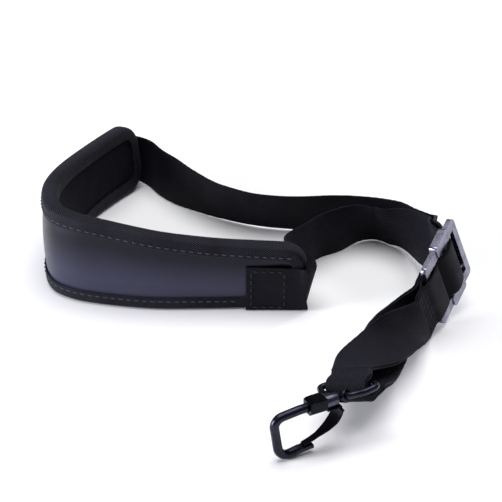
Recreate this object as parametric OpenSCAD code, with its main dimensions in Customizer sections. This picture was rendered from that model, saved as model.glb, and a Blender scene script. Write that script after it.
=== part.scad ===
// Saxophone neck strap: padded collar, two webbing straps, slider and swivel hook.
// It stands on the lower edge of its collar, with the hook's bow resting on the floor.
// Millimetres, +Z up, origin at floor level in the middle of the footprint.
// The collar opens towards +X, and the hook end comes forward, towards -Y.

/* [Collar] */
// Height of the collar at its middle
pad_mid_h = 55; // [50:1:60]
// Height of the collar at its two ends
pad_end_h = 43; // [40:1:48]
// Thickness of the padded collar
pad_t = 9.6; // [8:0.2:12]
// How far the collar's top flares outward, in degrees
pad_flare = 9; // [4:1:12]
// Radius of the collar's four corners
pad_corner_r = 14; // [8:1:18]
// Width of the binding tape's flap on each face
binding_w = 8; // [6:0.5:10]

/* [Webbing] */
// Width of the webbing
web_w = 30; // [28:0.5:30]
// Thickness of the webbing
web_t = 1.2; // [1:0.1:1.4]

/* [Slider] */
// Length of the slider's bars, across the webbing
slider_w = 44; // [43:1:46]
// Length of the slider's rails, along the webbing
slider_l = 43; // [42:1:46]
// Thickness of the slider's frame
slider_t = 3; // [2.5:0.1:3.4]
// Diameter of the slider's centre bar
bar_d = 3.6; // [3:0.1:4]

/* [Hook] */
// Diameter of the hook's rod
hook_d = 5; // [4:0.2:5.4]
// Diameter of the ring's wire
ring_d = 3.6; // [3:0.1:3.6]
// Length of the ring's straight bar, between its corners' centre lines
ring_w = 37.2; // [37.2:0.2:40]

/* [Hidden] */
$fn = 32;

// Clearance between neighbours that touch on the real object
gap = 0.3;
// Centre spacing of two stacked layers of webbing
pitch = web_t + gap;

// ---------- vectors and curves ----------
function unit(v) = v / norm(v);
function mix(a, b, t) = a + (b - a) * t;

// Catmull-Rom value at t between b and c, for numbers or vectors
function spline_at(a, b, c, d, t) =
    b + 0.5 * t * (c - a + t * (2 * a - 5 * b + 4 * c - d + t * (3 * (b - c) + d - a)));

// The whole curve through the stations p, with k steps between two stations
function spline(p, k) = [
    for (i = [0 : len(p) - 2], j = [0 : k - 1])
        spline_at(p[max(i - 1, 0)], p[i], p[i + 1], p[min(i + 2, len(p) - 1)], j / k),
    p[len(p) - 1]
];
// Direction to the left of a flat path at its point i
function side_of(p, i) =
    let (t = unit(p[min(i + 1, len(p) - 1)] - p[max(i - 1, 0)])) [-t.y, t.x];
function part_of(row, from) = [row[from], row[from + 1], row[from + 2]];

// ---------- frames ----------
// The axes of a frame turned by r = [roll, pitch, heading], as rotate(r) turns it
function turned(r, v) =
    let (a = [v.x, v.y * cos(r.x) - v.z * sin(r.x), v.y * sin(r.x) + v.z * cos(r.x)],
         b = [a.x * cos(r.y) + a.z * sin(r.y), a.y, a.z * cos(r.y) - a.x * sin(r.y)])
    [b.x * cos(r.z) - b.y * sin(r.z), b.x * sin(r.z) + b.y * cos(r.z), b.z];
module placed(at, r) { translate(at) rotate(r) children(); }

// Slider: x along the webbing towards the hook, y down across it, z out of its open face
slider_at = [107, -11, 29];
slider_r = [-80, 20, -116];
// Ring: x from its bar to its apex, y along the bar, z up through the loop
ring_at = [48.5, -122.8, 26.3];
ring_r = [18, -2, -117];
ring_depth = 12.3;
// Hook: x along the hook towards its bow, z up; it starts on the ring's wire, beside its apex
hook_at = ring_at + turned(ring_r, [ring_depth, 2.4, 0]);
hook_heading = -151;
hook_r = [0, 0, hook_heading];

// ---------- webbing ----------
// A station is [x, y, z, and the direction across the webbing from its upper edge].
function tangent_at(p, i) =
    unit(part_of(p[min(i + 1, len(p) - 1)], 0) - part_of(p[max(i - 1, 0)], 0));
// Places of a webbing cut square: [centre, across, normal]
function square_cuts(p) = [
    for (i = [0 : len(p) - 1])
        let (t = tangent_at(p, i), v = part_of(p[i], 3), u = unit(v - t * (v * t)))
        [part_of(p[i], 0), u, cross(t, u)]
];
// The same, with the stations' own directions across; a short one draws the webbing in
function own_cuts(p) = [
    for (i = [0 : len(p) - 1])
        let (u = part_of(p[i], 3)) [part_of(p[i], 0), u, unit(cross(tangent_at(p, i), u))]
];
// One layer of webbing through the cuts f, moved by off along their normals
module ribbon(f, off = 0) {
    n = len(f);
    points = [for (r = f, c = [[-1, -1], [1, -1], [1, 1], [-1, 1]])
        r[0] + r[1] * (c.x * web_w / 2) + r[2] * (off + c.y * web_t / 2)];
    sides = [for (i = [0 : n - 2], k = [0 : 3])
        each let (a = 4 * i + k, b = 4 * i + (k + 1) % 4) [[a, a + 4, b], [b, a + 4, b + 4]]];
    ends = [[0, 1, 2], [0, 2, 3], [4 * n - 4, 4 * n - 2, 4 * n - 3], [4 * n - 4, 4 * n - 1, 4 * n - 2]];
    polyhedron(points, concat(sides, ends), convexity = 6);
}
// A station given in a turned frame
function station_in(at, r, p) = concat(at + turned(r, p), turned(r, [0, 1, 0]));
// A station on the collar's outer face: s along it, h up it, d off it
function station_on(s, h, d) = concat(pad_point(s, h, d), pad_point(s, h - 1, d) - pad_point(s, h, d));

// Height of the sewn-on ends' centre line, and how far off the collar's face it lies
patch_h = 15.4;
patch_d = web_t / 2 + 0.5;
patch_l = 35;

// Near strap: sewn on the collar's near end, folded round that end, then in an S to the slider
function near_route() = concat([for (s = [patch_l, 25, 14, 5]) station_on(s, patch_h, patch_d)], [
    [28.2, -8.6, 15.6, -0.12, 0.2, -1],
    [30.3, -6.6, 15.6, -0.12, 0.2, -1],
    [30.5, -2.6, 15.7, -0.12, 0.2, -1],
    [29.4, 2.6, 16, -0.12, 0.12, -1],
    [26.4, 8.6, 16.4, -0.1, 0.05, -1],
    [20.6, 14.4, 16.5, -0.04, 0, -1],
    [16.4, 22, 16.5, 0, 0, -1],
    [19.6, 31, 16, 0, 0, -1],
    [29, 42, 15.6, 0, 0.02, -1],
    [38, 52.5, 15.5, 0.02, 0.04, -1],
    [49, 60, 15.5, 0.03, 0, -1],
    [60, 67, 15.4, 0.05, 0.22, -1],
    [70, 68.5, 15, 0.04, 0.42, -1],
    [78, 63, 16, 0.02, 0.42, -1],
    [86, 56, 18, -0.05, 0.32, -1],
    [93, 45, 21, -0.16, 0.22, -1],
    [99.8, 28, 25.5, -0.26, 0.25, -1],
    [103, 18, 30, 0.05, 0.24, -0.97]
]);
// Far strap: sewn on the collar's far end, folded round it, then behind the near strap
function far_route() = concat(
    [for (s = [patch_l, 25, 14, 5]) station_on(pad_l - s, patch_h, patch_d)], [
    [-80.4, 153, 15.6, 0.13, -0.08, -1],
    [-77.4, 153.4, 15.6, 0.1, -0.12, -1],
    [-71.4, 150.2, 15.4, 0.04, -0.18, -1],
    [-66, 144.5, 15.4, 0, -0.25, -1],
    [-59, 133.5, 15.2, 0, -0.24, -1],
    [-50, 122.5, 15.2, 0, -0.2, -1],
    [-38, 110, 15.3, 0, 0.1, -1],
    [-22, 97, 15, 0, 0.33, -1],
    [0, 86, 15, 0, 0.4, -1],
    [24, 82, 15, 0, 0.36, -1],
    [50, 82, 15.2, 0, 0.3, -1],
    [70, 78, 15.5, 0, 0.28, -1],
    [85, 68, 17, 0, 0.26, -1],
    [93.8, 52, 19, -0.12, 0.22, -1],
    [101.2, 36, 22.8, -0.24, 0.22, -1],
    [103.2, 28.6, 26, -0.22, 0.24, -1],
    [106.7, 19.1, 30.3, 0.05, 0.24, -0.97]
]);
// The two straps' way through the slider, as [x, z] in the slider's frame
near_weave = [[-18, -9], [-14, -2.6], [-9.5, 1.2], [-3, 2.75], [1.2, 2.1], [4, -0.6],
              [7.5, -3.9], [12.5, -5.5], [21.5, -5.4]];
far_weave = [for (i = [0 : len(near_weave) - 1])
    near_weave[i] + side_of(near_weave, i) * (i < 1 ? pitch + 1.9 : pitch)];
function weave(route) = [for (q = route) station_in(slider_at, slider_r, [q.x, 0, q[1]])];

// Lower strap: its front pair of layers goes from the sewn loop to the ring, and its rear pair
// comes from behind the slider's bar. Both are drawn in where they go round the ring's bar.
fold_half = 12;
fold_shift = -0.3;
fold_drop = 5;
fold_r = ring_d / 2 + gap + web_t + gap / 2;
function by_slider(x, z) = station_in(slider_at, slider_r, [x, 0, z]);
function by_ring(x, y, z) =
    concat(ring_at + turned(ring_r, [x, y, z]), turned(ring_r, [0, fold_half / 15, 0]));
front_route = [
    by_slider(34, 0), by_slider(38, 0.1),
    [79.6, -60.2, 20, 0.72, 0.01, -0.7],
    [66.3, -79.4, 21, 0.76, -0.64, -0.12],
    [55.4, -95.2, 23.8, 0.77, -0.62, 0.15],
    by_ring(-12, -3.4, fold_r), by_ring(-9.3, -2.4, fold_r)
];
back_route = [
    by_slider(22, -4.65), by_slider(27, -4.65),
    [85.5, -36.2, 15.3, 0.46, 0.19, -0.87],
    [74.2, -57.2, 15.9, 0.72, 0.01, -0.7],
    [65.8, -77.4, 13.2, 0.82, -0.42, -0.3],
    [60, -95, 14.6, 0.84, -0.5, 0],
    by_ring(-14, 0.6, -fold_r - fold_drop), by_ring(-9.3, 0.2, -fold_r - fold_drop)
];

// ---------- collar ----------
// Plan of the collar's outer lower edge, from its near end round the back of the neck
pad_plan = [[29, -4.8], [0, -4.6], [-30, -5.6], [-60, -5.6], [-88, -1], [-106, 5], [-118, 15],
            [-123.5, 32], [-123.5, 55], [-118, 79], [-108, 103], [-94, 127], [-77, 150]];
plan = spline(pad_plan, 8);
plan_s = [for (i = 0, s = 0; i < len(plan); s = s + (i < len(plan) - 1 ? norm(plan[i + 1] - plan[i]) : 0),
          i = i + 1) s];
pad_l = plan_s[len(plan) - 1];

// Point on the plan at distance s along it, and the outward direction there
function plan_index(s, i = 0) = i >= len(plan) - 2 || plan_s[i + 1] > s ? i : plan_index(s, i + 1);
function plan_at(s) =
    let (i = plan_index(s), k = (s - plan_s[i]) / (plan_s[i + 1] - plan_s[i]))
    mix(plan[i], plan[i + 1], k);
function plan_out(s) =
    let (i = plan_index(s), k = (s - plan_s[i]) / (plan_s[i + 1] - plan_s[i]),
         a = plan[i + 1] - plan[max(i - 1, 0)],
         b = plan[min(i + 2, len(plan) - 1)] - plan[i],
         t = unit(mix(a, b, k)))
    [-t.y, t.x];
// Height of the collar at s: tallest at the middle
function pad_h(s) = mix(pad_end_h, pad_mid_h, pow(sin(180 * s / pad_l), 3));
// Outward lean at s: none at the middle
function pad_lean(s) = pad_flare * (1 - sin(180 * s / pad_l));
// Point of the collar: s along it, h up its face, d outward from its outer face
function pad_point(s, h, d) =
    let (p = plan_at(s), n = plan_out(s), c = cos(pad_lean(s)), f = sin(pad_lean(s)),
         out = d * c + h * f)
    [p.x + n.x * out, p.y + n.y * out, h * c - d * f];

// How far the outline's lower and upper edges draw in near an end, where its corners are round
function corner_in(s, r) = s >= r ? 0 : r - sqrt(max(0, r * r - (r - s) * (r - s)));
function end_in(s, m) = corner_in(min(s, pad_l - s) - m, pad_corner_r - m) + m;
// Distances along the collar: close together round its corners
function pad_stops(m) = concat(
    [for (a = [0 : 15 : 75]) m + (pad_corner_r - m) * (1 - cos(a))],
    [for (i = [0 : 28]) mix(pad_corner_r, pad_l - pad_corner_r, i / 28)],
    [for (a = [75 : -15 : 0]) pad_l - m - (pad_corner_r - m) * (1 - cos(a))]);

// A layer of the collar between depths d0 (outer) and d1 (inner), drawn in by m at its edges.
// Between the tape's flaps each face bulges by its own crown.
bulges = [0, 0, 0.7, 1, 1, 0.7, 0, 0];
function ends_fade(s) = min(1, max(0, min(s, pad_l - s) / pad_corner_r - 1));
module pad_layer(m, d0, d1, crown0, crown1) {
    stops = pad_stops(m);
    rows = len(bulges) - 1;
    n = len(stops);
    points = [for (face = [0, 1], s = stops, j = [0 : rows])
        let (low = end_in(s, m), high = pad_h(s) - low, flap = min(binding_w - m + 0.4, high / 3),
             h = j == 0 ? low : j == rows ? high : mix(low + flap, high - flap, (j - 1) / (rows - 2)),
             bulge = bulges[j] * ends_fade(s),
             d = face == 0 ? d0 + crown0 * bulge : d1 - crown1 * bulge)
        pad_point(s, h, d)];
    w = rows + 1;
    inner = n * w;
    skins = [for (i = [0 : n - 2], j = [0 : rows - 1])
        each let (a = i * w + j, b = a + w)
        [[a, b, a + 1], [b, b + 1, a + 1],
         [inner + a, inner + a + 1, inner + b], [inner + b, inner + a + 1, inner + b + 1]]];
    edges = [for (i = [0 : n - 2], j = [0, rows])
        each let (a = i * w + j, b = a + w, f = [[a, b, inner + a], [b, inner + b, inner + a]])
        j > 0 ? f : [for (t = f) [t[0], t[2], t[1]]]];
    ends = [for (i = [0, n - 1], j = [0 : rows - 1])
        each let (a = i * w + j, b = a + 1, f = [[a, inner + a, b], [b, inner + a, inner + b]])
        i > 0 ? f : [for (t = f) [t[0], t[2], t[1]]]];
    polyhedron(points, concat(skins, edges, ends), convexity = 8);
}

skin_t = 1;
lining_t = 1.2;
tape_t = 0.8;
crown = 1.2;
// The tape's wrap leaves this much room for the layers inside it
edge_m = tape_t + gap;

module foam_core() {
    color("#3a3a40")
    pad_layer(edge_m + 0.6, -tape_t - skin_t - gap, lining_t + tape_t + gap - pad_t, crown, crown);
}
module outer_cover() {
    color("#2c2c3a") pad_layer(edge_m + 1.3, -tape_t - 0.1, -tape_t - skin_t - 0.1, crown, -crown);
}
module inner_lining() {
    color("#18181c")
    pad_layer(edge_m + 1.3, lining_t + tape_t + 0.1 - pad_t, tape_t + 0.1 - pad_t, -crown, crown);
}

// The binding tape's way round the outline: [s, h, and the direction into the face]
corner_steps = [for (a = [0 : 15 : 90]) a];
function rim_corner(end, top) = [for (a = corner_steps)
    let (r = pad_corner_r,
         s = r - r * cos(a), u = r - r * sin(a),
         v = [cos(a), sin(a)],
         ss = end ? pad_l - s : s,
         hh = top ? pad_h(ss) - u : u)
    [ss, hh, end ? -v.x : v.x, top ? -v.y : v.y]];
function backwards(l) = [for (i = [len(l) - 1 : -1 : 0]) l[i]];
run_stops = [for (i = [1 : 27]) mix(pad_corner_r, pad_l - pad_corner_r, i / 28)];
rim = concat(
    rim_corner(false, false), [for (s = run_stops) [s, 0, 0, 1]],
    backwards(rim_corner(true, false)), rim_corner(true, true),
    backwards([for (s = run_stops) [s, pad_h(s), 0, -1]]), backwards(rim_corner(false, true)));
// The tape's section: [distance in from the edge, depth], outside first and then inside
tape_out = [[binding_w, 0.2], [4, 0.1], [1.6, -0.1], [0.3, -1.6], [0, -4.8],
            [0.3, -8], [1.6, -9.5], [4, -9.7], [binding_w, -9.8]];
tape_in = [[binding_w, -9], [4, -8.9], [2.1, -8.8], [1.1, -7.6], [0.8, -4.8],
           [1.1, -2], [2.1, -0.8], [4, -0.7], [binding_w, -0.6]];
module edge_binding() {
    section = concat(tape_out, tape_in);
    k = len(section);
    n = len(rim);
    points = [for (q = rim, c = section) pad_point(q[0] + q[2] * c.x, q[1] + q[3] * c.x, c.y)];
    faces = [for (i = [0 : n - 1], j = [0 : k - 1])
        each let (a = i * k + j, b = i * k + (j + 1) % k, c = (a + k) % (n * k), d = (b + k) % (n * k))
        [[a, b, c], [b, d, c]]];
    color("#1e1e24") polyhedron(points, faces, convexity = 8);
}

// A stitch from a to b, lying on a surface whose normal is n
stitch_w = 0.7;
stitch_t = 0.4;
module dash(a, b, n) {
    side = unit(cross(n, b - a)) * stitch_w / 2;
    up = unit(n) * stitch_t;
    points = [a - side, a + side, b + side, b - side,
              a - side + up, a + side + up, b + side + up, b - side + up];
    polyhedron(points, [[0, 3, 2, 1], [4, 5, 6, 7], [0, 1, 5, 4], [1, 2, 6, 5], [2, 3, 7, 6],
                        [3, 0, 4, 7]]);
}
// A stitch on the collar's outer face, between two [s, h] places, d off the face
module pad_dash(p, q, d) {
    dash(pad_point(p.x, p.y, d), pad_point(q.x, q.y, d),
         pad_point(p.x, p.y, d + 1) - pad_point(p.x, p.y, d));
}
module binding_stitches() {
    run_top = [for (s = [9 : 4.6 : pad_l - 11]) s];
    run_low = [for (s = [patch_l + 6 : 4.6 : pad_l - patch_l - 9]) s];
    up = binding_w - 2;
    color("#55555e") {
        for (s = run_top) pad_dash([s, pad_h(s) - up], [s + 2.6, pad_h(s + 2.6) - up], 0.3);
        for (s = run_low) pad_dash([s, up], [s + 2.6, up], 0.3);
    }
}
// A box of stitches on a sewn-on end, from s0 to s1 along the collar, about the height h
module patch_stitches(s0, s1, h) {
    d = patch_d + web_t / 2 + 0.15;
    for (k = [0 : 4], s = [s0, s1]) pad_dash([s, h - 11.6 + 5 * k], [s, h - 8.6 + 5 * k], d);
    for (k = [0 : 3], side = [-1, 1])
        let (a = s0 + (s1 - s0) * (k + 0.25) / 4)
        pad_dash([a, h + side * 12.6], [a + sign(s1 - s0) * 3, h + side * 12.6], d);
}
module near_patch_stitches() {
    color("#3c3c44") patch_stitches(32, 13, patch_h);
}
module far_patch_stitches() {
    color("#3c3c44") patch_stitches(pad_l - 32, pad_l - 13, patch_h);
}

// ---------- straps ----------
module near_neck_strap() {
    color("#26262c") ribbon(square_cuts(spline(concat(near_route(), weave(near_weave)), 3)));
}
module far_neck_strap() {
    color("#222228") ribbon(square_cuts(spline(concat(far_route(), weave(far_weave)), 3)));
}
// The loop's way, as [x, z] in the slider's frame: front layer first, then round to its tail
loop_way = [[33.6, 0.75], [30, 0.75], [26.6, 0.85], [22, 2.42], [14, 2.42], [10.4, 2.05], [8.6, 1.1],
            [8, 0], [8.6, -1.1], [10.4, -2.05], [14, -2.42], [22, -2.42], [26.6, -0.85], [30, -0.75],
            [33, -0.75]];
module sewn_loop() {
    color("#26262c") ribbon(square_cuts(spline(weave(loop_way), 2)));
}
module loop_stitches() {
    color("#3c3c44") placed(slider_at, slider_r)
        for (x = [27.4, 30.4], k = [0 : 6])
            translate([x, (k - 3) * 4.1, 1.9]) cube([stitch_w, 2.8, stitch_t], center = true);
}
module lower_front_run() {
    color("#26262c") for (off = [-pitch / 2, pitch / 2]) ribbon(own_cuts(spline(front_route, 4)), off);
}
module lower_back_run() {
    color("#222228") for (off = [-pitch / 2, pitch / 2]) ribbon(own_cuts(spline(back_route, 4)), off);
}
// The fold's way round the ring's bar, as [x, z] in the ring's frame; it hangs loosely below
fold_low = -fold_r - fold_drop;
fold_way = spline([[-8.6, fold_r], [-4, fold_r], [0, fold_r], [2.7, fold_r - 1], [3.6, -0.2],
                   [3.8, -3.2], [2.4, fold_low + 1.4], [-1, fold_low], [-5, fold_low],
                   [-8.6, fold_low]], 4);
module strap_end_fold() {
    n = len(fold_way);
    color("#26262c") placed(ring_at, ring_r) translate([0, fold_shift, 0]) rotate([90, 0, 0])
        for (off = [-pitch / 2, pitch / 2])
            linear_extrude(2 * fold_half, center = true) polygon(concat(
                [for (i = [0 : n - 1]) fold_way[i] + side_of(fold_way, i) * (off + web_t / 2)],
                [for (i = [n - 1 : -1 : 0]) fold_way[i] + side_of(fold_way, i) * (off - web_t / 2)]));
}

// ---------- slider ----------
rail_w = 6;
end_bar_w = 4.5;
bar_x = -3;
bar_half = slider_w / 2 - 1.4;
module rounded_plate(l, w, t, r) {
    linear_extrude(t, center = true) {
        square([l, w - 2 * r], center = true);
        square([l - 2 * r, w], center = true);
        for (sx = [-1, 1], sy = [-1, 1]) translate([sx * (l / 2 - r), sy * (w / 2 - r)]) circle(r);
    }
}
module slider_frame() {
    color("#b8b8c6") placed(slider_at, slider_r) difference() {
        union() {
            rounded_plate(slider_l, slider_w, slider_t, 3);
            for (side = [-1, 1]) translate([bar_x, side * (slider_w / 2 - 2.2), 0])
                rounded_plate(17, 7.4, slider_t + 1.6, 2);
        }
        cube([slider_l - 2 * end_bar_w, slider_w - 2 * rail_w, 10], center = true);
        translate([bar_x, 0, 0]) rotate([90, 0, 0])
            cylinder(h = 2 * bar_half + 0.1, d = bar_d + 0.04, center = true);
    }
}
module slider_centre_bar() {
    color("#a8a8b4") placed(slider_at, slider_r) translate([bar_x, 0, 0]) rotate([90, 0, 0])
        cylinder(h = 2 * bar_half, d = bar_d, center = true);
}

// ---------- bent rods ----------
// A rod of diameter d along the flat path p; r holds the bend's radius at each inner corner.
// A ball a hair thicker than the rod joins each straight to its bends.
function heading(v) = atan2(v.y, v.x);
function turn_at(p, i) =
    let (a = heading(p[i] - p[i - 1]), b = heading(p[i + 1] - p[i]), t = b - a)
    t > 180 ? t - 360 : t < -180 ? t + 360 : t;
function set_back(p, r, i) = i == 0 || i == len(p) - 1 ? 0 : r[i - 1] * tan(abs(turn_at(p, i)) / 2);
module bent_rod(p, r, d) {
    for (i = [0 : len(p) - 2]) {
        v = p[i + 1] - p[i];
        from = set_back(p, r, i);
        straight = norm(v) - from - set_back(p, r, i + 1);
        translate(p[i] + unit(v) * from) rotate([0, 90, heading(v)]) {
            cylinder(h = straight, d = d);
            if (i > 0) sphere(d = d + 0.06);
            if (i < len(p) - 2) translate([0, 0, straight]) sphere(d = d + 0.06);
        }
    }
    for (i = [1 : len(p) - 2]) {
        t = turn_at(p, i);
        a = heading(p[i] - p[i - 1]);
        side = sign(t);
        start = p[i] - unit(p[i] - p[i - 1]) * set_back(p, r, i);
        centre = start + [-sin(a), cos(a)] * side * r[i - 1];
        translate(centre) rotate([0, 0, side > 0 ? a - 90 : a + 90 + t])
            rotate_extrude(angle = abs(t)) translate([r[i - 1], 0]) circle(d / 2);
    }
}

// ---------- ring ----------
// Half of the loop; the two halves overlap a little at the middle of its bar and at its apex
ring_half = [[0, -1], [0, ring_w / 2], [8.2, 13], [ring_depth, 5.6], [ring_depth, -0.5]];
ring_bends = [2.6, 7, 6];
module ring_loop() {
    color("#3a3a42") placed(ring_at, ring_r) {
        bent_rod(ring_half, ring_bends, ring_d);
        mirror([0, 1, 0]) bent_rod(ring_half, ring_bends, ring_d);
    }
}

// ---------- hook ----------
eye_r = 3.7;
shank_r = 1.5;
barrel_r = 3.5;
barrel_x = 4.3;
barrel_end = 11.8;
collar_end = 22;
rivet_x = 10.4;
module swivel_stud() {
    color("#4a4a52") difference() {
        union() {
            placed(hook_at, ring_r) intersection() {
                rotate([90, 0, 0]) cylinder(h = 3.6, r = eye_r, center = true);
                sphere(eye_r + 0.25);
            }
            placed(hook_at, hook_r) rotate([0, 90, 0]) {
                translate([0, 0, 1.5]) cylinder(h = 7.2, r = shank_r);
                translate([0, 0, 7.4]) cylinder(h = 1.4, r = 2.4);
            }
        }
        placed(hook_at, ring_r) rotate([90, 0, 0]) cylinder(h = 12, r = ring_d / 2 + gap, center = true);
    }
}
module swivel_barrel() {
    color("#74747e") placed(hook_at, hook_r) difference() {
        rotate([0, 90, 0]) {
            translate([0, 0, barrel_x]) cylinder(h = 0.6, r1 = barrel_r - 0.6, r2 = barrel_r);
            translate([0, 0, barrel_x + 0.6]) cylinder(h = barrel_end - barrel_x - 0.6, r = barrel_r);
        }
        rotate([0, 90, 0]) {
            cylinder(h = 8, r = shank_r + 0.05);
            translate([0, 0, 7.2]) cylinder(h = 1.8, r = 2.5);
        }
        translate([rivet_x, 0, -barrel_r - 0.1]) cylinder(h = 1.8, r = 0.84);
    }
}
module hook_collar() {
    color("#26262c") placed(hook_at, hook_r) difference() {
        intersection() {
            translate([barrel_end + 0.05, 0, 0]) rotate([90, 0, 90])
                linear_extrude(collar_end - barrel_end - 0.05)
                polygon([[-4, -2.5], [-2.7, -3.7], [2.7, -3.7], [4, -2.5], [4, 3.9], [3.5, 4.4],
                         [-3.5, 4.4], [-4, 3.9]]);
            rotate([90, 0, 0]) linear_extrude(20, center = true)
                polygon([[barrel_end, -3.8], [collar_end, -3.8], [collar_end, 3.2],
                         [collar_end - 3, 4.5], [barrel_end + 1.4, 4.5], [barrel_end, 3.8]]);
        }
        rotate([0, 90, 0]) cylinder(h = 40, d = hook_d + 0.04);
    }
}
hook_path = [[barrel_end + 0.1, 0], [27, 0], [42, -1.5], [38.2, -26.1], [19.4, -22.8]];
module hook_rod() {
    tip = hook_path[4];
    lean = heading(hook_path[3] - hook_path[4]);
    color("#34343c") placed(hook_at, hook_r) difference() {
        union() {
            rotate([90, 0, 0]) bent_rod(hook_path, [20, 5, 6.5], hook_d);
            translate([tip.x, 0, tip.y]) rotate([0, 90 - lean, 0])
                cylinder(h = 8, r1 = hook_d / 2 + 0.5, r2 = hook_d / 2 - 0.2);
        }
        translate([tip.x, 0, tip.y]) rotate([0, -lean, 0]) translate([-1, -5, 0.9]) cube([8, 10, 4]);
    }
}
module gate_tab() {
    color("#1c1c20") placed(hook_at, hook_r) difference() {
        translate([2.9, -3.4, -barrel_r - 0.85]) cube([8.7, 6.8, 0.8]);
        translate([rivet_x, 0, -barrel_r - 2]) cylinder(h = 4, r = 0.84);
    }
}
module gate_rivet() {
    color("#5a5a62") placed(hook_at, hook_r) translate([rivet_x, 0, -barrel_r]) {
        translate([0, 0, -1.6]) cylinder(h = 0.7, r1 = 1, r2 = 1.6);
        translate([0, 0, -0.92]) cylinder(h = 2.4, r = 0.8);
    }
}
// The leaf's way in the hook's plane, from its root to the hook's tip
gate_hinge = [3.2, -5.6];
gate_way = spline([gate_hinge, [3.6, -7.6], [5, -10.4], [7.4, -13.2], [10.6, -15.8], [14, -17.8],
                   [17.4, -19.4], [20.4, -20.6], [24.6, -21.7]], 3);
module gate_leaf() {
    n = len(gate_way);
    strip = concat([for (i = [0 : n - 1]) gate_way[i] + side_of(gate_way, i) * 0.4],
                   [for (i = [n - 1 : -1 : 0]) gate_way[i] - side_of(gate_way, i) * 0.4]);
    color("#1c1c20") placed(hook_at, hook_r) intersection() {
        rotate([90, 0, 0]) linear_extrude(9, center = true) {
            polygon(strip);
            translate(gate_hinge) circle(0.9);
        }
        translate([0, 0, -30]) linear_extrude(30)
            polygon([[0, -4.5], [6, -4.4], [16, -2], [30, -1.7], [30, 1.7], [16, 2], [6, 4.4], [0, 4.5]]);
    }
}

foam_core();
outer_cover();
inner_lining();
edge_binding();
binding_stitches();
near_neck_strap();
far_neck_strap();
near_patch_stitches();
far_patch_stitches();
slider_frame();
slider_centre_bar();
sewn_loop();
loop_stitches();
lower_front_run();
lower_back_run();
strap_end_fold();
ring_loop();
swivel_stud();
swivel_barrel();
hook_collar();
hook_rod();
gate_tab();
gate_rivet();
gate_leaf();
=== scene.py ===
"""Looks of the saxophone neck strap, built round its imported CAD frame.

Shapes are worked out in millimetres, as the CAD source does, and scaled to metres in new_piece().
"""

import math

import bmesh
import bpy
import numpy as np
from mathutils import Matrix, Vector, noise


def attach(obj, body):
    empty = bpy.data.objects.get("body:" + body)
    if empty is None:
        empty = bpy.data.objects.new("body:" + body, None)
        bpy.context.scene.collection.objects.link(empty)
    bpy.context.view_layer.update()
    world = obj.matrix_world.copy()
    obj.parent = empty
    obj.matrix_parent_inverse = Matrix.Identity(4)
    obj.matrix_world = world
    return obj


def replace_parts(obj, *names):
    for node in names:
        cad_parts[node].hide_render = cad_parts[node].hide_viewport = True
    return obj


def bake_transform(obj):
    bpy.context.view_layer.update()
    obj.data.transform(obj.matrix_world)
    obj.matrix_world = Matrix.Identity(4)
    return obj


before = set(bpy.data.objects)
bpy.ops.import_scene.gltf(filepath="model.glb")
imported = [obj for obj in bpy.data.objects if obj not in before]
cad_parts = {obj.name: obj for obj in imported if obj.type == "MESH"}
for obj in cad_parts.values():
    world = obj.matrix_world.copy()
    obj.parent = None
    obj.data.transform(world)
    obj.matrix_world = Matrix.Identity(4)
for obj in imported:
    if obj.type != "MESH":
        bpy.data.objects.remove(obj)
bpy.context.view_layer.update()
MM = 0.001

# ---------- camera, lights and floor ----------
VIEW_TARGET = Vector((-0.003, 0.062, 0))
VIEW_ELEVATION = math.radians(30)
VIEW_DISTANCE = 1.3
camera_data = bpy.data.cameras.new("camera")
camera = bpy.data.objects.new("camera", camera_data)
bpy.context.scene.collection.objects.link(camera)
camera.location = VIEW_TARGET + VIEW_DISTANCE * Vector(
    (0, -math.cos(VIEW_ELEVATION), math.sin(VIEW_ELEVATION)))
camera.rotation_euler = (math.pi / 2 - VIEW_ELEVATION, 0, 0)
camera_data.sensor_width = 36
camera_data.lens = 155.4
bpy.context.scene.camera = camera
bpy.context.scene.view_settings.view_transform = "Standard"


def area_light(name, location, target, size, power, colour=(1, 1, 1)):
    """A round soft light at location, aimed at target."""
    data = bpy.data.lights.new(name, "AREA")
    data.shape = "DISK"
    data.size = size
    data.energy = power
    data.color = colour
    lamp = bpy.data.objects.new(name, data)
    bpy.context.scene.collection.objects.link(lamp)
    lamp.location = location
    aim = Vector(target) - Vector(location)
    lamp.rotation_euler = aim.to_track_quat("-Z", "Y").to_euler()


area_light("overhead", (0, 0.2, 2.2), (0, 0.05, 0), 2.4, 50)
area_light("left", (-1.6, -0.45, 0.35), (-0.1, 0.03, 0.03), 0.9, 42, (0.93, 0.93, 1))
area_light("right_back", (1.3, 1.2, 1.1), (0.06, -0.05, 0.03), 0.5, 9, (0.96, 0.95, 1))

world = bpy.data.worlds.new("studio")
bpy.context.scene.world = world
world.use_nodes = True
surround = world.node_tree.nodes["Background"].inputs
surround["Color"].default_value = (0.80, 0.81, 0.88, 1)
surround["Strength"].default_value = 0.22


# ---------- materials ----------
RIB_PITCH = 1.5  # the webbing's ribs, in millimetres
PICK_PITCH = 0.62
SELVAGE_FROM = 12.9  # from the webbing's middle to its selvage
TWILL = 1.8  # the tape's ribs
FACE_ROWS = 40.0  # the across coordinate at the top of the collar's faces


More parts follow.
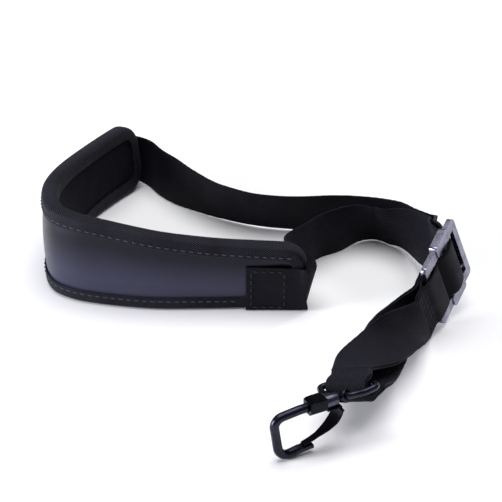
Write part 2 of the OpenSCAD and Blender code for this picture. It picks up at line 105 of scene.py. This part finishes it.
class Look:
    """A material with a Principled shader and helpers that add the nodes in front of it."""

    def __init__(self, name, colour, roughness, **sockets):
        self.material = bpy.data.materials.new(name)
        self.material.use_nodes = True
        self.tree = self.material.node_tree
        self.shader = self.tree.nodes["Principled BSDF"]
        self.set("Base Color", (*colour, 1))
        self.set("Roughness", roughness)
        for key, value in sockets.items():
            self.set(key.replace("_", " "), (*value, 1) if isinstance(value, tuple) else value)

    def set(self, socket, value):
        self.shader.inputs[socket].default_value = value

    def node(self, kind, **settings):
        made = self.tree.nodes.new(kind)
        for key, value in settings.items():
            setattr(made, key, value)
        return made

    def link(self, source, target):
        self.tree.links.new(source, target)

    def math(self, operation, a, b=0.0, clamp=False):
        made = self.node("ShaderNodeMath", operation=operation, use_clamp=clamp)
        for socket, value in zip(made.inputs, (a, b)):
            if isinstance(value, (int, float)):
                socket.default_value = value
            else:
                self.link(value, socket)
        return made.outputs[0]

    def lay(self):
        """The piece's own (across, along) coordinates, in millimetres."""
        uv = self.node("ShaderNodeTexCoord").outputs["UV"]
        split = self.node("ShaderNodeSeparateXYZ")
        self.link(uv, split.inputs[0])
        return split.outputs[0], split.outputs[1]

    def noise(self, scale, detail=3.0, rough=0.55):
        place = self.node("ShaderNodeTexCoord").outputs["Object"]
        made = self.node("ShaderNodeTexNoise")
        made.inputs["Scale"].default_value = scale
        made.inputs["Detail"].default_value = detail
        made.inputs["Roughness"].default_value = rough
        self.link(place, made.inputs["Vector"])
        return made.outputs["Fac"]

    def waves(self, place, pitch):
        """0 to 1 to 0 along place, once each pitch."""
        angle = self.math("MULTIPLY", place, math.tau / pitch)
        return self.math("ADD", self.math("MULTIPLY", self.math("COSINE", angle), 0.5), 0.5)

    def bump(self, height, distance, strength=1.0):
        made = self.node("ShaderNodeBump")
        made.inputs["Strength"].default_value = strength
        made.inputs["Distance"].default_value = distance
        self.link(height, made.inputs["Height"])
        self.link(made.outputs[0], self.shader.inputs["Normal"])

    def ramp(self, factor, low, high, socket="Base Color", at=(0.0, 1.0)):
        made = self.node("ShaderNodeValToRGB")
        for element, colour, place in zip(made.color_ramp.elements, (low, high), at):
            element.color = (*colour, 1)
            element.position = place
        self.link(factor, made.inputs[0])
        self.link(made.outputs[0], self.shader.inputs[socket])

    def rough(self, factor, low, high):
        span = self.math("MULTIPLY", factor, high - low)
        self.link(self.math("ADD", span, low), self.shader.inputs["Roughness"])


def webbing_look():
    look = Look("webbing", (0.006, 0.006, 0.009), 0.62, Sheen_Weight=0.05, Sheen_Roughness=0.4,
                Sheen_Tint=(0.62, 0.62, 0.85), Specular_IOR_Level=0.10)
    across, along = look.lay()
    ribs = look.waves(across, RIB_PITCH)
    slope = look.math("ADD", along, look.math("MULTIPLY", across, 0.25))
    picks = look.waves(slope, PICK_PITCH)
    weave = look.math("ADD", look.math("MULTIPLY", ribs, 0.7), look.math("MULTIPLY", picks, 0.3))
    # selvage: short ticks across the outermost 2 mm
    edge = look.math("GREATER_THAN", look.math("ABSOLUTE", across), SELVAGE_FROM)
    ticks = look.waves(along, 1.25)
    plain = look.math("MULTIPLY", weave, look.math("SUBTRACT", 1.0, edge))
    height = look.math("ADD", plain, look.math("MULTIPLY", ticks, edge))
    # painted shade: the ramp colours the weave's valleys and the gaps between selvage ticks darker and
    # their crests lighter, varied by random noise
    shade_and_wear = look.math("MULTIPLY", height, look.math("ADD", look.noise(60, 4), 0.35))
    look.ramp(shade_and_wear, (0.0004, 0.0004, 0.0008), (0.009, 0.009, 0.016), at=(0.08, 0.95))
    look.rough(look.noise(90), 0.5, 0.8)
    look.bump(height, 0.00022, 0.9)
    return look.material


def tape_look():
    look = Look("twill_tape", (0.01, 0.01, 0.014), 0.6, Sheen_Weight=0.05, Sheen_Roughness=0.4,
                Sheen_Tint=(0.68, 0.68, 0.9), Specular_IOR_Level=0.10)
    across, along = look.lay()
    slope = look.math("ADD", along, look.math("MULTIPLY", across, 1.35))
    ribs = look.waves(slope, TWILL)
    cross_slope = look.math("SUBTRACT", along, look.math("MULTIPLY", across, 1.1))
    dashes = look.waves(cross_slope, TWILL * 0.8)
    broken = look.math("ADD", look.math("MULTIPLY", dashes, 0.6), 0.4)
    weave = look.math("MULTIPLY", ribs, broken)
    # painted shade and highlight: the twill's grooves are coloured darker and its crests lighter,
    # varied by random noise
    shade_and_wear = look.math("MULTIPLY", weave, look.math("ADD", look.noise(50, 4), 0.45))
    look.ramp(shade_and_wear, (0.0004, 0.0004, 0.0007), (0.050, 0.050, 0.074), at=(0.30, 1.0))
    look.bump(weave, 0.00025, 0.8)
    return look.material


def leather_look():
    look = Look("smooth_leather", (0.030, 0.030, 0.046), 0.36, Specular_IOR_Level=0.34,
                Specular_Tint=(0.74, 0.74, 1.0))
    up, _ = look.lay()
    # painted reflection: the face is coloured darker along the upper seam and paler below it, as if
    # its upper part mirrored dark surroundings and its lower part the pale floor
    blotch = look.math("MULTIPLY", look.noise(14, 3), 0.25)
    depth = look.math("ADD", look.math("MULTIPLY", up, 1 / FACE_ROWS), blotch)
    look.ramp(depth, (0.028, 0.028, 0.050), (0.0005, 0.0005, 0.001), at=(0.45, 0.85))
    look.rough(look.noise(300, 5), 0.28, 0.48)
    look.bump(look.noise(1500, 4, 0.6), 0.00004, 0.5)
    return look.material


def plush_look():
    look = Look("plush", (0.003, 0.003, 0.005), 0.95, Sheen_Weight=0.05, Sheen_Roughness=0.35,
                Sheen_Tint=(0.45, 0.45, 0.65), Specular_IOR_Level=0.08)
    pile = look.noise(1400, 6, 0.7)
    look.ramp(look.math("MULTIPLY", pile, look.math("ADD", look.noise(70, 3), 0.5)),
              (0.001, 0.001, 0.0015), (0.008, 0.008, 0.012), at=(0.2, 0.8))
    look.bump(pile, 0.0004, 0.6)
    return look.material


def thread_look(name, colour):
    look = Look(name, colour, 0.55, Sheen_Weight=0.06, Sheen_Tint=(0.8, 0.8, 0.95),
                Specular_IOR_Level=0.2)
    across, along = look.lay()
    twist = look.waves(look.math("ADD", along, look.math("MULTIPLY", across, 0.7)), 0.5)
    # painted shade: the twist's grooves are coloured darker and its ridges lighter
    look.ramp(twist, tuple(c * 0.4 for c in colour), tuple(c * 1.3 for c in colour))
    look.bump(twist, 0.0001, 0.8)
    return look.material


def metal_look(name, colour, roughness, wear=0.35):
    look = Look(name, colour, roughness, Metallic=1.0)
    shade_and_wear, bright = (tuple(c * k for c in colour) for k in (1 - wear, 1 + wear))
    look.ramp(look.noise(130, 4), shade_and_wear, bright, at=(0.3, 0.72))
    look.rough(look.noise(420, 5), roughness * 0.75, roughness * 1.3)
    look.bump(look.noise(900, 4), 0.00003, 0.5)
    return look.material


WEBBING = webbing_look()
TAPE = tape_look()
LEATHER = leather_look()
PLUSH = plush_look()
THREAD = thread_look("tape_thread", (0.07, 0.07, 0.095))
DARK_THREAD = thread_look("dark_thread", (0.018, 0.018, 0.026))
CAST = metal_look("cast_slider", (0.24, 0.24, 0.31), 0.26)
GUNMETAL = metal_look("gunmetal", (0.026, 0.026, 0.040), 0.25)
BARREL = metal_look("barrel", (0.07, 0.07, 0.10), 0.3)
BLACK_STEEL = metal_look("black_steel", (0.010, 0.010, 0.014), 0.22)

# ---------- floor ----------
floor_look = Look("floor", (0.92, 0.92, 0.93), 0.9, Specular_IOR_Level=0.1)
floor_look.ramp(floor_look.noise(3, 2), (0.91, 0.91, 0.92), (0.93, 0.93, 0.94))
FLOOR_HALF = 6.0
FLOOR_Z = -0.0002
floor_mesh = bpy.data.meshes.new("floor")
floor_mesh.from_pydata([(x * FLOOR_HALF, y * FLOOR_HALF, FLOOR_Z)
                        for x, y in ((-1, -1), (1, -1), (1, 1), (-1, 1))], [], [(0, 1, 2, 3)])
floor = bpy.data.objects.new("floor", floor_mesh)
floor_mesh.materials.append(floor_look.material)
bpy.context.scene.collection.objects.link(floor)


# ---------- curves and frames, as in the CAD source ----------
def spline(stations, steps):
    """Catmull-Rom curve through the stations, with that many steps between two."""
    p = np.asarray(stations, float)
    out = []
    for i in range(len(p) - 1):
        a, b, c, d = p[max(i - 1, 0)], p[i], p[i + 1], p[min(i + 2, len(p) - 1)]
        for t in np.arange(steps) / steps:
            bend = 2 * a - 5 * b + 4 * c - d + t * (3 * (b - c) + d - a)
            out.append(b + 0.5 * t * (c - a + t * bend))
    return np.array(out + [p[-1]])


def turned(angles, v):
    """v turned by [roll, pitch, heading] in degrees."""
    (cx, sx), (cy, sy), (cz, sz) = [(math.cos(a), math.sin(a)) for a in map(math.radians, angles)]
    roll = np.array([[1, 0, 0], [0, cx, -sx], [0, sx, cx]])
    pitch = np.array([[cy, 0, sy], [0, 1, 0], [-sy, 0, cy]])
    heading = np.array([[cz, -sz, 0], [sz, cz, 0], [0, 0, 1]])
    return heading @ pitch @ roll @ np.asarray(v, float)


def units(v):
    """The vectors v, each at length 1."""
    return v / np.linalg.norm(v, axis=-1, keepdims=True)


def lengths(points):
    """Distance along the points from the first."""
    return np.r_[0, np.cumsum(np.linalg.norm(np.diff(points, axis=0), axis=1))]


# ---------- mesh building ----------
def new_piece(name, points, faces, uvs, material, body, slot):
    """An object from points in millimetres, with an (across, along) pair for each face corner."""
    mesh = bpy.data.meshes.new(name)
    mesh.from_pydata((np.asarray(points) * MM).tolist(), [], faces)
    layer = mesh.uv_layers.new(name="lay")
    layer.data.foreach_set("uv", np.asarray(uvs, np.float32).ravel())
    mesh.materials.append(material)
    made = bpy.data.objects.new(name, mesh)
    bpy.context.scene.collection.objects.link(made)
    work = bmesh.new()
    work.from_mesh(mesh)
    bmesh.ops.recalc_face_normals(work, faces=work.faces)
    work.to_mesh(mesh)
    work.free()
    mesh.polygons.foreach_set("use_smooth", [True] * len(mesh.polygons))
    if body:
        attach(made, body)
    return made


def tube_grid(points, across, along, wrap=False):
    """Faces and uvs of closed rings of points[n][m], with a cap at each end unless it wraps."""
    n, m = points.shape[:2]
    faces, uvs = [], []
    for i in range(n if wrap else n - 1):
        for j in range(m):
            ii, jj = (i + 1) % n, (j + 1) % m
            faces.append((i * m + j, ii * m + j, ii * m + jj, i * m + jj))
            uvs += [(across[j], along[i]), (across[j], along[i + 1]),
                    (across[j + 1], along[i + 1]), (across[j + 1], along[i])]
    if not wrap:
        for i in (0, n - 1):
            faces.append(tuple(i * m + j for j in range(m)))
            uvs += [(across[j], along[i]) for j in range(m)]
    return faces, uvs


def join_parts(parts):
    """Several (points, faces, uvs) as one."""
    points, faces, uvs, base = [], [], [], 0
    for p, f, u in parts:
        points.append(np.asarray(p).reshape(-1, 3))
        faces += [tuple(k + base for k in face) for face in f]
        uvs += u
        base += len(points[-1])
    return np.concatenate(points), faces, uvs


# ---------- collar ----------
PAD_PLAN = [[29, -4.8], [0, -4.6], [-30, -5.6], [-60, -5.6], [-88, -1], [-106, 5], [-118, 15],
            [-123.5, 32], [-123.5, 55], [-118, 79], [-108, 103], [-94, 127], [-77, 150]]
PAD_END_H, PAD_MID_H, PAD_T, PAD_FLARE, PAD_CORNER, BINDING_W = 43, 55, 9.6, 9, 14, 8
TAPE_T, SKIN_T, LINING_T, CROWN = 0.8, 1.0, 1.2, 1.2
INNER_M = TAPE_T + 0.3 + 1.3  # the faces' edges lie this far inside the outline
plan = spline(PAD_PLAN, 24)
plan_s = lengths(plan)
PAD_L = plan_s[-1]
plan_t = units(np.gradient(plan, axis=0))


def pad_h(s):
    """Height of the collar at s: tallest at the middle."""
    return PAD_END_H + (PAD_MID_H - PAD_END_H) * np.sin(np.pi * np.clip(s / PAD_L, 0, 1)) ** 3


def pad_point(s, h, d):
    """Point of the collar: s along it, h up its face, d outward from its outer face."""
    s, h, d = np.broadcast_arrays(np.asarray(s, float), np.asarray(h, float), np.asarray(d, float))
    x, y = (np.interp(s, plan_s, plan[:, k]) for k in (0, 1))
    t = units(np.stack([np.interp(s, plan_s, plan_t[:, k]) for k in (0, 1)], -1))
    lean = np.radians(PAD_FLARE * (1 - np.sin(np.pi * np.clip(s / PAD_L, 0, 1))))
    out = d * np.cos(lean) + h * np.sin(lean)
    up = h * np.cos(lean) - d * np.sin(lean)
    return np.stack([x - t[..., 1] * out, y + t[..., 0] * out, up], -1)


def drawn_in(s, m):
    """How far the outline's edges draw in near an end, where its corners are round."""
    r = PAD_CORNER - m
    near = np.clip(np.minimum(s, PAD_L - s) - m, 0, r)
    return r - np.sqrt(np.maximum(0, r * r - (r - near) ** 2)) + m


def pad_stops(m, step):
    """Distances along the collar: close together round its corners."""
    corner = m + (PAD_CORNER - m) * (1 - np.cos(np.radians(np.arange(0, 90, 6))))
    middle = np.linspace(PAD_CORNER, PAD_L - PAD_CORNER, int((PAD_L - 2 * PAD_CORNER) / step))
    return np.r_[corner, middle, (PAD_L - corner)[::-1]]


def rumple(points, scale, amount):
    """Smooth noise of one number at each point, for soft dents."""
    dents = [amount * noise.noise(Vector(p * scale)) for p in points.reshape(-1, 3)]
    return np.array(dents).reshape(points.shape[:-1])


def pad_face(name, outside, material, slot, step, rows, dent_scale, dent):
    """The leather or lining of the collar: a thin closed layer, puffed between the tape's flaps."""
    s = pad_stops(INNER_M, step)[:, None]
    low = drawn_in(s, INNER_M)
    high = pad_h(s) - low
    f = np.linspace(0, 1, rows)[None, :]
    h = low + (high - low) * f
    flap = np.minimum(BINDING_W - INNER_M + 0.4, high / 3)
    x = np.clip((h - low - flap) / np.maximum(high - low - 2 * flap, 1), 0, 1)
    ends = np.clip(np.minimum(s, PAD_L - s) / PAD_CORNER - 1, 0, 1)
    puff = (1 - (2 * x - 1) ** 2) ** 0.7 * ends
    if outside:
        depth, back = -TAPE_T - 0.1 + CROWN * puff, -SKIN_T
    else:
        depth, back = TAPE_T + 0.1 - PAD_T - CROWN * puff, LINING_T
    face = pad_point(s, h, depth)
    depth = depth + rumple(face, dent_scale, dent) * puff
    face, rear = pad_point(s, h, depth), pad_point(s, h, depth + back)
    rings = np.concatenate([face, rear[:, ::-1]], 1)
    along = s[:, 0]
    across = np.r_[f[0] * FACE_ROWS, f[0, ::-1] * FACE_ROWS, 0]
    faces, uvs = tube_grid(rings, across, along)
    return new_piece(name, rings.reshape(-1, 3), faces, uvs, material, "collar", slot)


cover = pad_face("leather_cover", True, LEATHER, "cover", 2.0, 26, 0.035, 0.18)
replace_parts(cover, "outer_cover", "foam_core")
lining = pad_face("plush_lining", False, PLUSH, "lining", 1.6, 34, 0.09, 0.45)
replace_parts(lining, "inner_lining")

# Binding tape: its section runs from the outer flap's edge over the rim to the inner flap's edge
TAPE_OUT = [[BINDING_W, 0.2], [4, 0.1], [1.6, -0.1], [0.3, -1.6], [0, -4.8],
            [0.3, -8], [1.6, -9.5], [4, -9.7], [BINDING_W, -9.8]]
TAPE_IN = [[BINDING_W, -9], [4, -8.9], [2.1, -8.8], [1.1, -7.6], [0.8, -4.8],
           [1.1, -2], [2.1, -0.8], [4, -0.7], [BINDING_W, -0.6]]
TAPE_MID = -4.8  # the depth of the rim's middle
TWILL_LIFT = 0.16
RIM_STEP = 0.42


def rim_line():
    """The rim's way round the outline: rows of [s, h, and the direction into the face]."""
    angles = np.radians(np.linspace(0, 90, 50))
    r = PAD_CORNER

    def corner(end, top):
        s, u = r - r * np.cos(angles), r - r * np.sin(angles)
        at = PAD_L - s if end else s
        up = pad_h(at) - u if top else u
        along, inward = (-1 if end else 1), (-1 if top else 1)
        return np.stack([at, up, np.cos(angles) * along, np.sin(angles) * inward], 1)

    run = np.arange(r + RIM_STEP, PAD_L - r, RIM_STEP)
    low = np.stack([run, 0 * run, 0 * run, 0 * run + 1], 1)
    high = np.stack([run, pad_h(run), 0 * run, 0 * run - 1], 1)
    return np.concatenate([corner(False, False), low, corner(True, False)[::-1],
                           corner(True, True), high[::-1], corner(False, True)[::-1]])


def binding():
    """The tape round the rim, with its twill ribs raised in the mesh."""
    rim = rim_line()
    outer = spline(TAPE_OUT, 4)
    section = np.concatenate([outer, TAPE_IN])
    place = lengths(outer)
    across = np.r_[place, place[-1] * np.linspace(1, 0, len(TAPE_IN)), 0]
    middle = pad_point(rim[:, 0], rim[:, 1], TAPE_MID)
    along = np.r_[lengths(middle), 0]
    along[-1] = along[-2] + np.linalg.norm(middle[0] - middle[-1])
    normal = np.gradient(outer, axis=0)
    normal = units(np.stack([normal[:, 1], -normal[:, 0]], 1))
    ribs = 0.5 + 0.5 * np.cos((along[:-1, None] + 1.35 * place[None, :]) * math.tau / TWILL)
    edge = np.minimum(1, np.minimum(place, place[-1] - place) / 1.0)
    lift = TWILL_LIFT * (ribs - 0.4) * edge[None, :]
    ins = np.repeat(section[None], len(rim), 0)
    ins[:, :len(outer)] -= normal[None] * lift[..., None]
    ins[:, 0, 0] += 0.35 * ribs[:, 0]
    s = rim[:, 0:1] + rim[:, 2:3] * ins[..., 0]
    h = rim[:, 1:2] + rim[:, 3:4] * ins[..., 0]
    rings = pad_point(s, h, ins[..., 1])
    faces, uvs = tube_grid(rings, across, along, wrap=True)
    return new_piece("binding_tape", rings.reshape(-1, 3), faces, uvs, TAPE, "collar", "tape")


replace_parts(binding(), "edge_binding")


def stitch(a, b, up, radius=0.34):
    """One stitch of thread from a to b, arched a little along up: (points, faces, uvs)."""
    sides, rings = 8, 7
    side = units(np.cross(up, b - a))
    points, along = [], []
    for t in np.linspace(0, 1, rings):
        bow = math.sin(math.pi * t)
        r = radius * (0.45 + 0.55 * bow ** 0.5)
        centre = a + (b - a) * t + up * (0.30 * bow - 0.08)
        along.append(t * np.linalg.norm(b - a))
        for k in range(sides):
            angle = math.tau * k / sides
            points.append(centre + side * r * math.cos(angle) + up * r * 0.8 * math.sin(angle))
    rings_points = np.array(points).reshape(rings, sides, 3)
    faces, uvs = tube_grid(rings_points, np.linspace(0, math.tau * radius, sides + 1), along)
    return rings_points, faces, uvs


def pad_stitch(p, q, d):
    """A stitch on the collar from (s, h) = p to q, at depth d."""
    a, b = pad_point(p[0], p[1], d), pad_point(q[0], q[1], d)
    return stitch(a, b, units(pad_point(p[0], p[1], d + 1) - a))


def stitches(name, rows, material, body, node):
    """All the stitches of one CAD node as one piece."""
    made = new_piece(name, *join_parts(rows), material, body, "thread")
    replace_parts(made, node)


PATCH_L, PATCH_H, WEB_W, WEB_T = 35, 15.4, 30, 1.2
PATCH_D = WEB_T / 2 + 0.5
SEAM_UP = BINDING_W - 2
SEAM_D, STITCH_L, STITCH_PITCH = 0.3, 2.6, 4.6
top_run = [pad_stitch((s, pad_h(s) - SEAM_UP), (s + STITCH_L, pad_h(s + STITCH_L) - SEAM_UP), SEAM_D)
           for s in np.arange(9, PAD_L - 11, STITCH_PITCH)]
low_run = [pad_stitch((s, SEAM_UP), (s + STITCH_L, SEAM_UP), SEAM_D)
           for s in np.arange(PATCH_L + 6, PAD_L - PATCH_L - 9, STITCH_PITCH)]
stitches("binding_thread", top_run + low_run, THREAD, "collar", "binding_stitches")


def patch_box(s0, s1):
    """The box of stitches on a sewn-on end, from s0 to s1 along the collar."""
    d = PATCH_D + WEB_T / 2 + 0.12
    turn = math.copysign(3, s1 - s0)
    ends = [pad_stitch((s, PATCH_H - 11.6 + 5 * k), (s, PATCH_H - 8.6 + 5 * k), d)
            for k in range(5) for s in (s0, s1)]
    sides = [pad_stitch((a, PATCH_H + side * 12.6), (a + turn, PATCH_H + side * 12.6), d)
             for a in s0 + (s1 - s0) * (np.arange(4) + 0.25) / 4 for side in (-1, 1)]
    return ends + sides


BOX_FROM, BOX_TO = 32, 13
stitches("near_patch_thread", patch_box(BOX_FROM, BOX_TO), DARK_THREAD, "collar",
         "near_patch_stitches")
stitches("far_patch_thread", patch_box(PAD_L - BOX_FROM, PAD_L - BOX_TO), DARK_THREAD, "collar",
         "far_patch_stitches")

# ---------- webbing ----------
SLIDER_AT, SLIDER_R = np.array([107, -11, 29.0]), [-80, 20, -116]
RING_AT, RING_R = np.array([48.5, -122.8, 26.3]), [18, -2, -117]
GAP = 0.3
PITCH = WEB_T + GAP
RIB_LIFT = 0.05
CUP_LIFT = 0.10
COLUMNS = 81


def cuts(stations, steps, square):
    """Places of a webbing: centres, directions across, and normals."""
    p = spline(stations, steps)
    centre, across = p[:, :3], p[:, 3:]
    t = units(np.gradient(centre, axis=0))
    if square:
        across = units(across - t * (across * t).sum(1, keepdims=True))
    return centre, across, units(np.cross(t, across))


def webbing(centre, across, normal, off=0.0):
    """One layer of webbing with its ribs and serrated selvages: (points, faces, uvs)."""
    c = np.linspace(-1, 1, COLUMNS)
    along = lengths(centre + normal * off)
    round_off = np.sqrt(1 - np.clip((np.abs(c) - 0.95) / 0.05, 0, 1) ** 2)
    half = WEB_T / 2 * (0.25 + 0.75 * round_off)
    ribs = RIB_LIFT * np.cos(c * WEB_W / 2 * math.tau / RIB_PITCH) * (np.abs(c) < 0.86)
    serrated = 1 + 0.006 * np.cos(along * math.tau / 2.5)[:, None] * (np.abs(c) > 0.97)
    cup = CUP_LIFT * np.sin(along / 17.0)[:, None] * c[None, :] ** 2
    flat = across[:, None] * (c * serrated)[..., None] * (WEB_W / 2)
    top = centre[:, None] + flat + normal[:, None] * (off + half + ribs + cup)[..., None]
    low = centre[:, None] + flat + normal[:, None] * (off - half + ribs + cup)[..., None]
    rings = np.concatenate([top, low[:, ::-1]], 1)
    place = c * WEB_W / 2
    faces, uvs = tube_grid(rings, np.r_[place, place[::-1], place[0]], along)
    return rings, faces, uvs


def web_piece(name, layers, nodes, body=None):
    """Layers of webbing as one piece that stands for the CAD nodes."""
    made = new_piece(name, *join_parts(layers), WEBBING, body, "webbing")
    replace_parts(made, *nodes)
    return made


def station_on(s, h, d):
    """A station on the collar's outer face."""
    at = pad_point(s, h, d)
    return np.r_[at, pad_point(s, h - 1, d) - at]


def in_slider(x, z):
    """A station in the slider's frame."""
    return np.r_[SLIDER_AT + turned(SLIDER_R, [x, 0, z]), turned(SLIDER_R, [0, 1, 0])]


def by_ring(x, y, z):
    """A station in the ring's frame, drawn in to the fold's width."""
    across = turned(RING_R, [0, FOLD_HALF / (WEB_W / 2), 0])
    return np.r_[RING_AT + turned(RING_R, [x, y, z]), across]


# A station is [x, y, z, and the direction across the webbing from its upper edge].
NEAR_FREE = [
    [28.2, -8.6, 15.6, -0.12, 0.2, -1], [30.3, -6.6, 15.6, -0.12, 0.2, -1],
    [30.5, -2.6, 15.7, -0.12, 0.2, -1], [29.4, 2.6, 16, -0.12, 0.12, -1],
    [26.4, 8.6, 16.4, -0.1, 0.05, -1], [20.6, 14.4, 16.5, -0.04, 0, -1],
    [16.4, 22, 16.5, 0, 0, -1], [19.6, 31, 16, 0, 0, -1], [29, 42, 15.6, 0, 0.02, -1],
    [38, 52.5, 15.5, 0.02, 0.04, -1], [49, 60, 15.5, 0.03, 0, -1], [60, 67, 15.4, 0.05, 0.22, -1],
    [70, 68.5, 15, 0.04, 0.42, -1], [78, 63, 16, 0.02, 0.42, -1], [86, 56, 18, -0.05, 0.32, -1],
    [93, 45, 21, -0.16, 0.22, -1], [99.8, 28, 25.5, -0.26, 0.25, -1], [103, 18, 30, 0.05, 0.24, -0.97]]
FAR_FREE = [
    [-80.4, 153, 15.6, 0.13, -0.08, -1], [-77.4, 153.4, 15.6, 0.1, -0.12, -1],
    [-71.4, 150.2, 15.4, 0.04, -0.18, -1], [-66, 144.5, 15.4, 0, -0.25, -1],
    [-59, 133.5, 15.2, 0, -0.24, -1], [-50, 122.5, 15.2, 0, -0.2, -1], [-38, 110, 15.3, 0, 0.1, -1],
    [-22, 97, 15, 0, 0.33, -1], [0, 86, 15, 0, 0.4, -1], [24, 82, 15, 0, 0.36, -1],
    [50, 82, 15.2, 0, 0.3, -1], [70, 78, 15.5, 0, 0.28, -1], [85, 68, 17, 0, 0.26, -1],
    [93.8, 52, 19, -0.12, 0.22, -1], [101.2, 36, 22.8, -0.24, 0.22, -1],
    [103.2, 28.6, 26, -0.22, 0.24, -1], [106.7, 19.1, 30.3, 0.05, 0.24, -0.97]]
NEAR_WEAVE = np.array([[-18, -9], [-14, -2.6], [-9.5, 1.2], [-3, 2.75], [1.2, 2.1], [4, -0.6],
                       [7.5, -3.9], [12.5, -5.5], [21.5, -5.4]])
SEWN = [PATCH_L, 25, 14, 5]


def beside(way, distances):
    """A flat way moved to its left, by a distance at each point."""
    ahead = np.r_[way[1:], way[-1:]] - np.r_[way[:1], way[:-1]]
    t = units(ahead)
    return way + np.stack([-t[:, 1], t[:, 0]], 1) * np.asarray(distances)[:, None]


far_weave = beside(NEAR_WEAVE, [PITCH + 1.9] + [PITCH] * (len(NEAR_WEAVE) - 1))
near_stations = np.array([station_on(s, PATCH_H, PATCH_D) for s in SEWN] + NEAR_FREE
                         + [in_slider(*q) for q in NEAR_WEAVE])
far_stations = np.array([station_on(PAD_L - s, PATCH_H, PATCH_D) for s in SEWN] + FAR_FREE
                        + [in_slider(*q) for q in far_weave])
FOLD_AT = 42.0  # where the near strap folds round the collar's end, along the strap
for name, stations, node in (("near_webbing", near_stations, "near_neck_strap"),
                             ("far_webbing", far_stations, "far_neck_strap")):
    centre, across, normal = cuts(stations, 11, True)
    if name == "near_webbing":
        # the lower corner of its fold is drawn in under the collar's round corner
        drawn = np.exp(-((lengths(centre) - FOLD_AT) / 9) ** 2)[:, None]
        across = across + drawn * np.array([-0.10, 0, 0])
    strap = web_piece(name, [webbing(centre, across, normal)], [node])
    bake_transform(strap)

LOOP_WAY = [[33.6, 0.75], [30, 0.75], [26.6, 0.85], [22, 2.42], [14, 2.42], [10.4, 2.05], [8.6, 1.1],
            [8, 0], [8.6, -1.1], [10.4, -2.05], [14, -2.42], [22, -2.42], [26.6, -0.85], [30, -0.75],
            [33, -0.75]]
web_piece("loop_webbing", [webbing(*cuts([in_slider(*q) for q in LOOP_WAY], 6, True))], ["sewn_loop"],
          "slider")
slider_y, slider_x, slider_z = (turned(SLIDER_R, v) for v in ([0, 1, 0], [1, 0, 0], [0, 0, 1]))
loop_rows = []
for x, z in ((27.4, 1.62), (30.4, 1.5)):
    for k in range(7):
        middle = SLIDER_AT + slider_x * x + slider_z * z + slider_y * (k - 3) * 4.1
        loop_rows.append(stitch(middle - slider_y * 1.4, middle + slider_y * 1.4, slider_z))
stitches("loop_thread", loop_rows, DARK_THREAD, "slider", "loop_stitches")

# Lower strap: down its front to the ring, loosely round the ring's bar, and back up behind
RING_WIRE = 3.6
FOLD_HALF, FOLD_SHIFT, FOLD_DROP = 12, -0.3, 5
FOLD_R = RING_WIRE / 2 + GAP + WEB_T + GAP / 2
FOLD_LOW = -FOLD_R - FOLD_DROP
FOLD_WAY = [[-4, FOLD_R], [0, FOLD_R], [2.7, FOLD_R - 1], [3.6, -0.2], [3.8, -3.2],
            [2.4, FOLD_LOW + 1.4], [-1, FOLD_LOW], [-5, FOLD_LOW]]
lower_stations = np.array(
    [in_slider(34, 0), in_slider(38, 0.1),
     [79.6, -60.2, 20, 0.72, 0.01, -0.7], [66.3, -79.4, 21, 0.76, -0.64, -0.12],
     [55.4, -95.2, 23.8, 0.77, -0.62, 0.15], by_ring(-12, -3.4, FOLD_R), by_ring(-9.3, -2.4, FOLD_R)]
    + [by_ring(x, FOLD_SHIFT, z) for x, z in FOLD_WAY]
    + [by_ring(-9.3, 0.2, FOLD_LOW), by_ring(-14, 0.6, FOLD_LOW), [60, -95, 14.6, 0.84, -0.5, 0],
       [65.8, -77.4, 13.2, 0.82, -0.42, -0.3], [74.2, -57.2, 15.9, 0.72, 0.01, -0.7],
       [85.5, -36.2, 15.3, 0.46, 0.19, -0.87], in_slider(27, -4.65), in_slider(22, -4.65)])
lower_cuts = cuts(lower_stations, 12, False)
lower = web_piece("lower_webbing", [webbing(*lower_cuts, off) for off in (-PITCH / 2, PITCH / 2)],
                  ["lower_front_run", "strap_end_fold", "lower_back_run"])
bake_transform(lower)

# ---------- metal parts: the CAD shapes, with softened edges ----------
WELD_DISTANCE = 0.02
METAL_PARTS = (
    ("slider_frame", CAST, 0.55), ("slider_centre_bar", CAST, 0.3), ("ring_loop", GUNMETAL, 0),
    ("swivel_stud", GUNMETAL, 0.3), ("swivel_barrel", BARREL, 0.3),
    ("hook_collar", BLACK_STEEL, 0.35), ("hook_rod", GUNMETAL, 0.25),
    ("gate_tab", BLACK_STEEL, 0.2), ("gate_rivet", GUNMETAL, 0.15), ("gate_leaf", BLACK_STEEL, 0.15))
for node, material, width in METAL_PARTS:
    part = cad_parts[node]
    part.data.materials.clear()
    part.data.materials.append(material)
    weld = part.modifiers.new("weld", "WELD")
    weld.merge_threshold = WELD_DISTANCE * MM
    if width:
        bevel = part.modifiers.new("bevel", "BEVEL")
        bevel.width = width * MM
        bevel.segments = 2
        bevel.limit_method = "ANGLE"
        bevel.angle_limit = math.radians(35)
